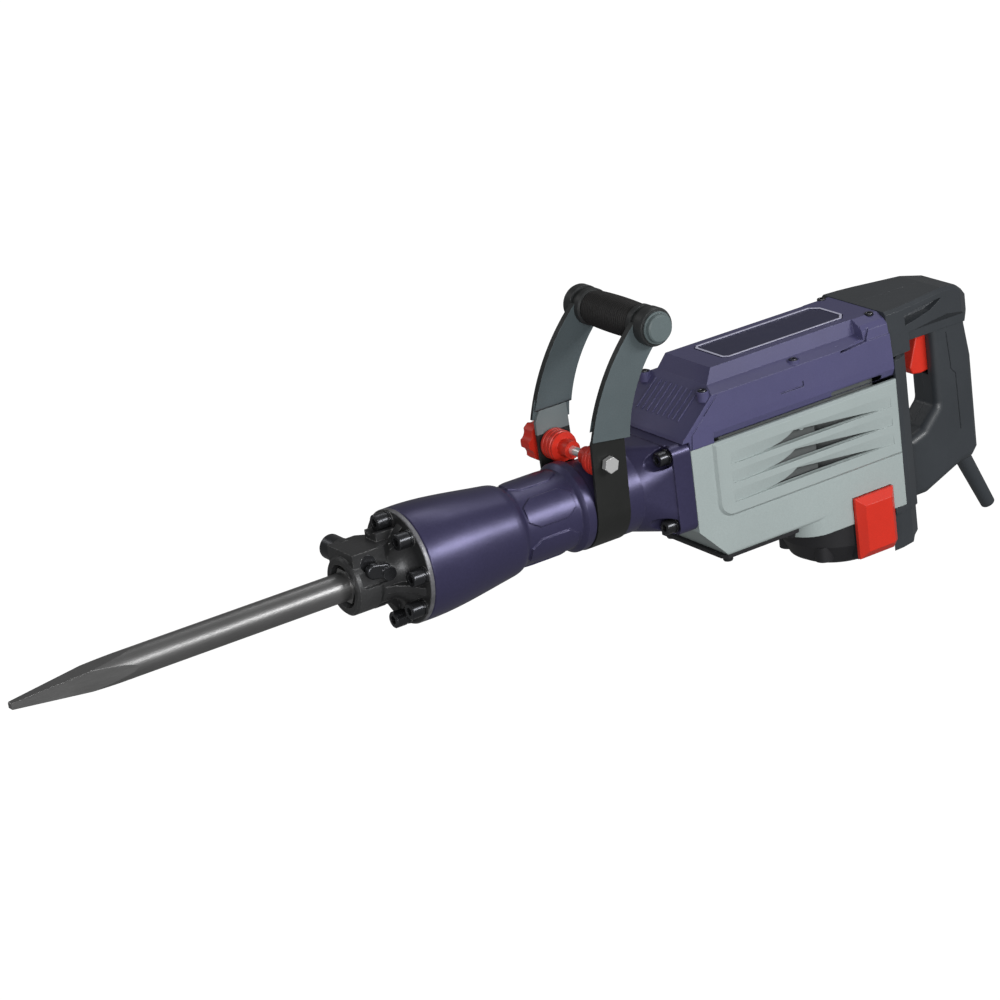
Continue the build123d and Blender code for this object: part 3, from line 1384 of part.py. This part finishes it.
def about_clamp(profile):
    """Solid turned about the clamp bolt's axis, from (radius, y) points."""
    with BuildPart() as made:
        with BuildSketch(Plane.XY.offset(CLAMP_Z)):
            polygon([(CLAMP_X + r, y) for r, y in profile])
        revolve(axis=Axis((CLAMP_X, 0, CLAMP_Z), (0, 1, 0)))
    return made.part


with BuildPart() as clamp_bolt:
    with BuildSketch(side(-44.4)):
        with Locations((CLAMP_X, CLAMP_Z)):
            RegularPolygon(6.5, 6, major_radius=False, rotation=15)
    extrude(amount=5.5)
    fillet(clamp_bolt.faces().sort_by(Axis.Y)[0].edges(), 0.5)
    with BuildSketch(side(-44.4)):
        with Locations((CLAMP_X, CLAMP_Z)):
            Circle(4)
    extrude(amount=-104)
write(clamp_bolt.part, "clamp_bolt")

spacers = []
for way in (1, -1):
    profile = [
        (4.1, 38.6), (13.6, 38.6), (14, 38), (14, 35.2), (12.4, 34.4), (14, 33.6), (14, 30.4), (12.4, 29.6),
        (14, 28.8), (14, 25.4), (12.4, 24.6), (13.4, 23.8), (13.2, 22.4), (8, 21.6), (8, 9.5), (4.1, 9.5),
    ]
    spacers.append(about_clamp([(r, y * way) for r, y in profile]))
gather(spacers, "clamp_spacers")

KNOB_R = 19.0
KNOB_FLUTES = 7
with BuildPart() as clamp_knob:
    with BuildSketch(side(45)):
        with Locations((CLAMP_X, CLAMP_Z)):
            Circle(10)
    extrude(amount=-4)
    with BuildSketch(side(49)):
        with Locations((CLAMP_X, CLAMP_Z)):
            Circle(KNOB_R)
            with PolarLocations(KNOB_R + 5.5, KNOB_FLUTES):
                Circle(8, mode=Mode.SUBTRACT)
    extrude(amount=-15)
    fillet(clamp_knob.faces().sort_by(Axis.Y)[-1].edges(), 2.5)
    with BuildSketch(side(0)):
        with Locations((CLAMP_X, CLAMP_Z)):
            Circle(4.05)
    extrude(amount=-80, mode=Mode.SUBTRACT)
write(clamp_knob.part, "clamp_knob")
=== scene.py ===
"""Looks of an electric jackhammer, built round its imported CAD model. Metres, +X back along the hammer axis,
+Y to the operator's right, +Z up."""
import json
from math import cos, hypot, pi, radians, sin

import bmesh
import bpy
from mathutils import Matrix, Vector


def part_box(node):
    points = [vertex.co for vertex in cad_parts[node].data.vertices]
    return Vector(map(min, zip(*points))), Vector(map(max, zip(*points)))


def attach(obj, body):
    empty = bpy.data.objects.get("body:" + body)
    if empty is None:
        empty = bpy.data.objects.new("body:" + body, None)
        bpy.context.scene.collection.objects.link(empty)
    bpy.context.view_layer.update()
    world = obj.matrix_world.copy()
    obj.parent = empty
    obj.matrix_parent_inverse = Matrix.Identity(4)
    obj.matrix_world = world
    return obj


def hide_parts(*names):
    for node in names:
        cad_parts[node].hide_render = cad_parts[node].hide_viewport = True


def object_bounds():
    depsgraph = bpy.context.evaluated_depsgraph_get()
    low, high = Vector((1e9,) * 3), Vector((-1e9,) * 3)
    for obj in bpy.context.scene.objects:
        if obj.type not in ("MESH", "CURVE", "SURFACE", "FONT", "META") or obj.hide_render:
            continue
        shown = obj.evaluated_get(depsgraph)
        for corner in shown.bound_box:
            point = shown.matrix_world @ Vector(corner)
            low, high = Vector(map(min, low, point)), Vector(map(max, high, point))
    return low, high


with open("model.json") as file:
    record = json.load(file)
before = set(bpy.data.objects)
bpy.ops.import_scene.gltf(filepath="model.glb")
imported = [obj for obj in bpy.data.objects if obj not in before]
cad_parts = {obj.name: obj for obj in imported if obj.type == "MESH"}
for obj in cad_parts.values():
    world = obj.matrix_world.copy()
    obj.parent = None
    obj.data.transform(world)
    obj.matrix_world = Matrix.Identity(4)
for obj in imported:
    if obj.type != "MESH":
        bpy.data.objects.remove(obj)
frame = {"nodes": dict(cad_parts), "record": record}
CAD_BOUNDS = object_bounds()
SCENE = bpy.context.scene
MM = 0.001


# ---- camera, light and floor ----------------------------------------------------------------
CAMERA_PLACE = Vector((-1.281, -2.3917, 1.0712))
CAMERA_AZIMUTH = radians(31.8)
CAMERA_DROP = radians(20.37)
CAMERA_ROLL = radians(-7.28)
CAMERA_LENS = 126.1
CAMERA_SHIFT = (-0.038, -0.013)
SENSOR_WIDTH = 36
WORLD_STRENGTH = 0.17
LIGHT_TARGET = (0.25, 0, 0)
# name, place, size, power
LIGHTS = [
    ("key", (-0.7, -2.1, 0.6), (1.8, 0.6), 33),
    ("gloss", (1.45, -1.75, 0.9), (1.1, 0.45), 24),
    ("top", (1.3, 0.5, 1.8), (1.2, 0.35), 4),
    ("rim", (-0.9, 2.0, 1.5), (0.9, 0.6), 3),
]
FLOOR_HALF = 6.0
FLOOR_GLOW = 1.05


def make_camera():
    """Long lens from the front left and above, rolled a little, as a product shot."""
    ahead = Vector(
        (sin(CAMERA_AZIMUTH) * cos(CAMERA_DROP), cos(CAMERA_AZIMUTH) * cos(CAMERA_DROP), -sin(CAMERA_DROP))
    )
    level_right = ahead.cross(Vector((0, 0, 1))).normalized()
    level_up = level_right.cross(ahead)
    right = level_right * cos(CAMERA_ROLL) + level_up * sin(CAMERA_ROLL)
    up = level_up * cos(CAMERA_ROLL) - level_right * sin(CAMERA_ROLL)
    data = bpy.data.cameras.new("camera")
    data.lens = CAMERA_LENS
    data.sensor_width = SENSOR_WIDTH
    data.shift_x, data.shift_y = CAMERA_SHIFT
    camera = bpy.data.objects.new("camera", data)
    SCENE.collection.objects.link(camera)
    turn = Matrix((right, up, -ahead)).transposed().to_4x4()
    camera.matrix_world = Matrix.Translation(CAMERA_PLACE) @ turn
    SCENE.camera = camera


def area_light(name, place, target, size, power):
    """Soft rectangular light that faces a target."""
    data = bpy.data.lights.new(name, "AREA")
    data.shape = "RECTANGLE"
    data.size, data.size_y = size
    data.energy = power
    lamp = bpy.data.objects.new(name, data)
    SCENE.collection.objects.link(lamp)
    lamp.location = place
    lamp.rotation_euler = (Vector(target) - Vector(place)).to_track_quat("-Z", "Y").to_euler()


def make_lights():
    """Dim surroundings, a long key light from the left, two that run along the round parts, a weak rim."""
    world = bpy.data.worlds.new("studio")
    world.use_nodes = True
    world.node_tree.nodes["Background"].inputs["Color"].default_value = (1, 1, 1, 1)
    world.node_tree.nodes["Background"].inputs["Strength"].default_value = WORLD_STRENGTH
    SCENE.world = world
    for name, place, size, power in LIGHTS:
        area_light(name, place, LIGHT_TARGET, size, power)


def make_floor():
    """Plain white backdrop that gives the object no light and takes no shadow.

    It lies below everything that the side handle reaches as it swings round the barrel.
    """
    reach = hypot(CAD_BOUNDS[1][1], CAD_BOUNDS[1][2])
    low = min(CAD_BOUNDS[0][2], -reach)
    mesh = bpy.data.meshes.new("floor")
    corners = [(FLOOR_HALF * a, FLOOR_HALF * b, low) for a, b in ((-1, -1), (1, -1), (1, 1), (-1, 1))]
    mesh.from_pydata(corners, [], [(0, 1, 2, 3)])
    floor = bpy.data.objects.new("floor", mesh)
    SCENE.collection.objects.link(floor)
    pale = bpy.data.materials.new("pale_floor")
    pale.use_nodes = True
    shader = pale.node_tree.nodes["Principled BSDF"]
    shader.inputs["Base Color"].default_value = (0, 0, 0, 1)
    shader.inputs["Specular IOR Level"].default_value = 0
    shader.inputs["Emission Color"].default_value = (1, 1, 1, 1)
    shader.inputs["Emission Strength"].default_value = FLOOR_GLOW
    mesh.materials.append(pale)
    floor.visible_diffuse = floor.visible_glossy = floor.visible_transmission = floor.visible_shadow = False


# ---- materials ------------------------------------------------------------------------------
class Nodes:
    """Short-hand for building a material's node tree."""

    def __init__(self, name):
        self.material = bpy.data.materials.new(name)
        self.material.use_nodes = True
        self.tree = self.material.node_tree
        self.shader = self.tree.nodes["Principled BSDF"]
        place = self.tree.nodes.new("ShaderNodeTexCoord")
        self.place = place.outputs["Object"]
        self.facing = place.outputs["Normal"]

    def add(self, kind, **settings):
        node = self.tree.nodes.new("ShaderNode" + kind)
        for key, value in settings.items():
            setattr(node, key, value)
        return node

    def link(self, out, into):
        self.tree.links.new(out, into)

    def noise(self, scale, detail=4.0, stretch=(1, 1, 1), rough=0.55):
        """Noise in the object's own space, with features about 1/scale metres wide."""
        vector = self.place
        if stretch != (1, 1, 1):
            mapping = self.add("Mapping")
            mapping.inputs["Scale"].default_value = stretch
            self.link(self.place, mapping.inputs["Vector"])
            vector = mapping.outputs["Vector"]
        node = self.add("TexNoise")
        node.inputs["Scale"].default_value = scale
        node.inputs["Detail"].default_value = detail
        node.inputs["Roughness"].default_value = rough
        self.link(vector, node.inputs["Vector"])
        return node.outputs["Fac"]

    def ramp(self, factor, low, high, at=(0.35, 0.65)):
        """Factor turned into a value from low to high."""
        node = self.add("MapRange", clamp=True)
        node.inputs["From Min"].default_value, node.inputs["From Max"].default_value = at
        node.inputs["To Min"].default_value, node.inputs["To Max"].default_value = low, high
        self.link(factor, node.inputs["Value"])
        return node.outputs["Result"]

    def mix(self, factor, first, second):
        """Colour mixed between two, each a colour or a socket."""
        node = self.add("Mix", data_type="RGBA")
        self.link(factor, node.inputs[0])
        for value, socket in ((first, node.inputs[6]), (second, node.inputs[7])):
            if isinstance(value, bpy.types.NodeSocket):
                self.link(value, socket)
            else:
                socket.default_value = (*value, 1)
        return node.outputs[2]

    def multiply(self, first, second):
        node = self.add("Math", operation="MULTIPLY")
        self.link(first, node.inputs[0])
        self.link(second, node.inputs[1])
        return node.outputs[0]

    def along(self, axis, absolute=False, facing=False):
        """Place along X, Y or Z in metres, or that part of the surface's own direction."""
        split = self.add("SeparateXYZ")
        self.link(self.facing if facing else self.place, split.inputs[0])
        value = split.outputs["XYZ".index(axis)]
        if absolute:
            size = self.add("Math", operation="ABSOLUTE")
            self.link(value, size.inputs[0])
            value = size.outputs[0]
        return value

    def band(self, value, low, high, fade=0.2 * MM):
        """Mask that is 1 between two values."""
        return self.multiply(self.ramp(value, 0, 1, (low, low + fade)), self.ramp(value, 1, 0, (high - fade, high)))

    def edges(self, radius):
        """Mask that is 1 near a sharp edge, and the softened normal."""
        bevel = self.add("Bevel", samples=4)
        bevel.inputs["Radius"].default_value = radius
        geometry = self.add("NewGeometry")
        dot = self.add("VectorMath", operation="DOT_PRODUCT")
        self.link(bevel.outputs["Normal"], dot.inputs[0])
        self.link(geometry.outputs["Normal"], dot.inputs[1])
        return self.ramp(dot.outputs["Value"], 1, 0, (0.75, 0.985)), bevel.outputs["Normal"]

    def bump(self, height, strength, distance, normal=None):
        node = self.add("Bump")
        node.inputs["Strength"].default_value = strength
        node.inputs["Distance"].default_value = distance
        self.link(height, node.inputs["Height"])
        if normal is not None:
            self.link(normal, node.inputs["Normal"])
        return node.outputs["Normal"]


def shade(colour, factor):
    return tuple(min(1, c * factor) for c in colour)


def surface(name, colour, rough, *, spread=0.12, metal=0.0, grain=900, grain_depth=0.00004, edge_wear_and_highlight=None,
            edge_wear_and_highlight_amount=0.5, coat=0.0, edge=0.5 * MM, stretch=(1, 1, 1), specular=0.4, dust=None, zones=()):
    """General worn surface: broad colour variation, fine grain in bump and roughness, soft edges painted lighter,
    partly as wear and partly as a painted edge highlight.
    """
    n = Nodes(name)
    broad = n.noise(14, 5)
    fine = n.noise(grain, 3, stretch)
    tone = n.mix(n.ramp(broad, 0, 1, (0.3, 0.7)), shade(colour, 1 - spread), shade(colour, 1 + spread))
    tone = n.mix(n.ramp(fine, 0, 0.35), tone, shade(colour, 0.72))
    for zone, zone_colour in zones:
        tone = n.mix(zone(n), tone, zone_colour)
    mask, soft_normal = n.edges(edge)
    if dust is not None:
        smudge = n.noise(45, 6, rough=0.7)
        tone = n.mix(n.ramp(smudge, 0, 0.22, (0.52, 0.75)), tone, dust)
    # Sharp edges take a lighter colour: partly wear, partly a painted highlight along the edges.
    if edge_wear_and_highlight is not None:
        patch = n.ramp(n.noise(260, 4), 0, edge_wear_and_highlight_amount, (0.42, 0.62))
        tone = n.mix(n.multiply(mask, patch), tone, edge_wear_and_highlight)
    n.link(tone, n.shader.inputs["Base Color"])
    n.link(n.ramp(n.noise(60, 6, stretch, 0.65), rough * 0.9, min(1, rough * 1.12), (0.3, 0.7)),
           n.shader.inputs["Roughness"])
    n.link(n.bump(fine, 1.0, grain_depth, soft_normal), n.shader.inputs["Normal"])
    n.shader.inputs["Metallic"].default_value = metal
    n.shader.inputs["Coat Weight"].default_value = coat
    n.shader.inputs["Coat Roughness"].default_value = 0.12
    n.shader.inputs["Specular IOR Level"].default_value = specular
    return n.material


ALONG_X = (0.06, 1, 1)
BARREL_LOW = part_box("barrel")[0]
BADGE_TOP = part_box("badge_plate")[1][2]
ARM_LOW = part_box("side_handle_arms")[0]
CAP_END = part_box("grip_caps")[1][1]
CAP_FACE_DEPTH = 5.6 * MM
SKIRT_HEIGHT = 18 * MM
CASING_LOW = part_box("side_cover_left")[0][2]
BIG = 10.0


def bare_rim(n):
    """Worn edge of the front flange, where the casting meets the barrel."""
    return n.multiply(
        n.band(n.along("X"), BARREL_LOW[0] - 3.7 * MM, BIG), n.ramp(n.noise(90, 5), 0.55, 1, (0.35, 0.6))
    )


def badge_rim(n):
    """Raised rim of the badge."""
    return n.band(n.along("Z"), BADGE_TOP - 0.35 * MM, BIG, 0.1 * MM)


def plate_edge_painted_shade(n):
    """Narrow faces of the arms, painted nearly black according to the way each face points: painted shade."""
    return n.ramp(n.along("Y", True, True), 1, 0, (0.5, 0.75))


def right_ear_painted_reflection(n):
    """Upper part of the strap's right ear, painted pale grey as a painted reflection on the black strap."""
    return n.multiply(n.band(n.along("Y"), 0, BIG), n.band(n.along("Z"), ARM_LOW[2] - 8 * MM, BIG))


def inside_casing(n):
    """Upper part of the motor housing, bare where the grey covers close round it."""
    return n.band(n.along("Z"), CASING_LOW + SKIRT_HEIGHT, BIG)


def cap_flange(n):
    """Wide flange of each grip cap."""
    return n.band(n.along("Y", True), 0, CAP_END - CAP_FACE_DEPTH)


MATERIALS = {
    "tool_steel": surface("tool_steel", (0.3, 0.3, 0.3), 0.36, metal=0.9, grain=1400, stretch=ALONG_X,
                          edge_wear_and_highlight=(0.55, 0.55, 0.55), dust=(0.18, 0.175, 0.165)),
    "cast_black": surface("cast_black", (0.075, 0.076, 0.078), 0.38, spread=0.3, metal=0.6, grain=600,
                          grain_depth=0.00022, edge_wear_and_highlight=(0.42, 0.42, 0.42), edge_wear_and_highlight_amount=0.85, edge=1.1 * MM,
                          zones=[(bare_rim, (0.28, 0.28, 0.3))]),
    "black_bolt": surface("black_bolt", (0.07, 0.072, 0.078), 0.26, metal=0.85, grain=1800,
                          edge_wear_and_highlight=(0.5, 0.5, 0.52), edge_wear_and_highlight_amount=0.8, edge=0.6 * MM),
    "hardened_steel": surface("hardened_steel", (0.5, 0.5, 0.51), 0.25, metal=1.0, grain=1600,
                              edge_wear_and_highlight=(0.75, 0.75, 0.75)),
    "light_alloy": surface("light_alloy", (0.13, 0.14, 0.14), 0.5, metal=0.4, grain=900, edge_wear_and_highlight=(0.3, 0.3, 0.3)),
    "barrel_paint": surface("barrel_paint", (0.058, 0.053, 0.125), 0.33, spread=0.08, metal=0.45, grain=500,
                            grain_depth=0.00003, edge_wear_and_highlight=(0.2, 0.19, 0.29), edge_wear_and_highlight_amount=0.5, edge=1.4 * MM,
                            specular=0.6),
    "buffer_rubber": surface("buffer_rubber", (0.02, 0.02, 0.02), 0.75, grain=1200),
    "winding": surface("winding", (0.6, 0.28, 0.12), 0.35, metal=0.9, grain=1800),
    "inner_plastic": surface("inner_plastic", (0.05, 0.05, 0.055), 0.55),
    "casing_grey": surface("casing_grey", (0.39, 0.45, 0.445), 0.5, spread=0.04, grain=1100,
                           edge_wear_and_highlight=(0.6, 0.66, 0.65), edge=0.7 * MM, dust=(0.34, 0.4, 0.39)),
    "casing_blue": surface("casing_blue", (0.088, 0.084, 0.186), 0.4, spread=0.06, grain=1100,
                           edge_wear_and_highlight=(0.28, 0.28, 0.44), edge=0.9 * MM),
    "badge": surface("badge", (0.026, 0.027, 0.075), 0.32, spread=0.05, grain=900,
                     zones=[(badge_rim, (0.62, 0.62, 0.78))]),
    "motor_black": surface("motor_black", (0.022, 0.022, 0.025), 0.5, grain=800, grain_depth=0.00007,
                           edge_wear_and_highlight=(0.16, 0.16, 0.17), zones=[(inside_casing, (0.13, 0.14, 0.14))]),
    "handle_black": surface("handle_black", (0.04, 0.046, 0.053), 0.38, spread=0.1, grain=1000,
                            grain_depth=0.00005, edge_wear_and_highlight=(0.13, 0.14, 0.16), edge=0.8 * MM, specular=0.6),
    "signal_red": surface("signal_red", (0.74, 0.035, 0.018), 0.36, spread=0.06, grain=1200,
                          grain_depth=0.00002, edge_wear_and_highlight=(0.9, 0.2, 0.13), edge=0.6 * MM),
    # The arms' narrow faces are painted nearly black as painted shade.
    "arm_grey": surface("arm_grey", (0.115, 0.145, 0.155), 0.46, spread=0.07, grain=800, metal=0.2,
                        edge_wear_and_highlight=(0.3, 0.34, 0.36), edge=0.5 * MM, zones=[(plate_edge_painted_shade, (0.03, 0.033, 0.033))]),
    # The top of the strap's right ear is painted pale grey as a painted reflection.
    "strap_black": surface("strap_black", (0.022, 0.023, 0.022), 0.42, grain=900, metal=0.2,
                           edge_wear_and_highlight=(0.2, 0.2, 0.2), edge=0.5 * MM, zones=[(right_ear_painted_reflection, (0.2, 0.235, 0.24))]),
    "bright_steel": surface("bright_steel", (0.9, 0.9, 0.9), 0.24, spread=0.05, metal=0.6, grain=1500,
                            edge_wear_and_highlight=(0.95, 0.95, 0.95)),
    "grip_rubber": surface("grip_rubber", (0.016, 0.015, 0.015), 0.55, grain=1500),
    "cap_grey": surface("cap_grey", (0.13, 0.165, 0.17), 0.42, grain=1000, edge_wear_and_highlight=(0.3, 0.33, 0.33),
                        zones=[(cap_flange, (0.03, 0.032, 0.033))]),
}


def paint_frame():
    """Each CAD node takes its slot's material."""
    for entry in frame["record"]["subparts"]:
        piece = frame["nodes"][entry["node"]]
        piece.data.materials.clear()
        piece.data.materials.append(MATERIALS[entry["material_slot"]])


# ---- ribbed rubber of the side grip ----------------------------------------------------------
SLEEVE_WALL = 7.6 * MM
SLEEVE_END_DROP = 1.9 * MM
SLEEVE_SWELL = 1.1 * MM
RIB_ROOT_DROP = 0.75 * MM
RIB_PITCH = 2.6 * MM
RIB_MARGIN = 2 * MM
RIB_PROFILE = ((0.25, 0), (0.8, 0.55), (1.5, 0.55), (2.05, 0))
TURN_STEPS = 96


def ribbed_rubber():
    """Sleeve with fine rings round it and a slight swell in the middle, in place of the plain one."""
    low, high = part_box("grip_rubber")
    centre_x, centre_z = (low[0] + high[0]) / 2, (low[2] + high[2]) / 2
    most = (high[0] - low[0]) / 2
    half = (high[1] - low[1]) / 2
    inner = most - SLEEVE_WALL
    count = int((2 * half - RIB_MARGIN) / RIB_PITCH)
    start = -count * RIB_PITCH / 2
    profile = [(-half, inner), (-half, most - SLEEVE_END_DROP)]
    for ring in range(count):
        for step, lift in RIB_PROFILE:
            y = start + ring * RIB_PITCH + step * MM
            profile.append((y, most - RIB_ROOT_DROP - SLEEVE_SWELL * (y / half) ** 2 + lift * MM))
    profile += [(half, most - SLEEVE_END_DROP), (half, inner)]
    shape = bmesh.new()
    rings = []
    for turn in range(TURN_STEPS):
        angle = 2 * pi * turn / TURN_STEPS
        rings.append([
            shape.verts.new((centre_x + r * cos(angle), y, centre_z + r * sin(angle))) for y, r in profile
        ])
    for turn in range(TURN_STEPS):
        here, there = rings[turn], rings[(turn + 1) % TURN_STEPS]
        for k in range(len(profile)):
            nxt = (k + 1) % len(profile)
            shape.faces.new((here[k], here[nxt], there[nxt], there[k]))
    bmesh.ops.recalc_face_normals(shape, faces=shape.faces)
    mesh = bpy.data.meshes.new("ribbed_rubber")
    shape.to_mesh(mesh)
    shape.free()
    sleeve = bpy.data.objects.new("ribbed_rubber", mesh)
    SCENE.collection.objects.link(sleeve)
    mesh.materials.append(MATERIALS["grip_rubber"])
    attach(sleeve, "side_handle")
    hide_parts("grip_rubber")


SCENE.view_settings.view_transform = "Standard"
make_camera()
make_lights()
make_floor()
paint_frame()
ribbed_rubber()
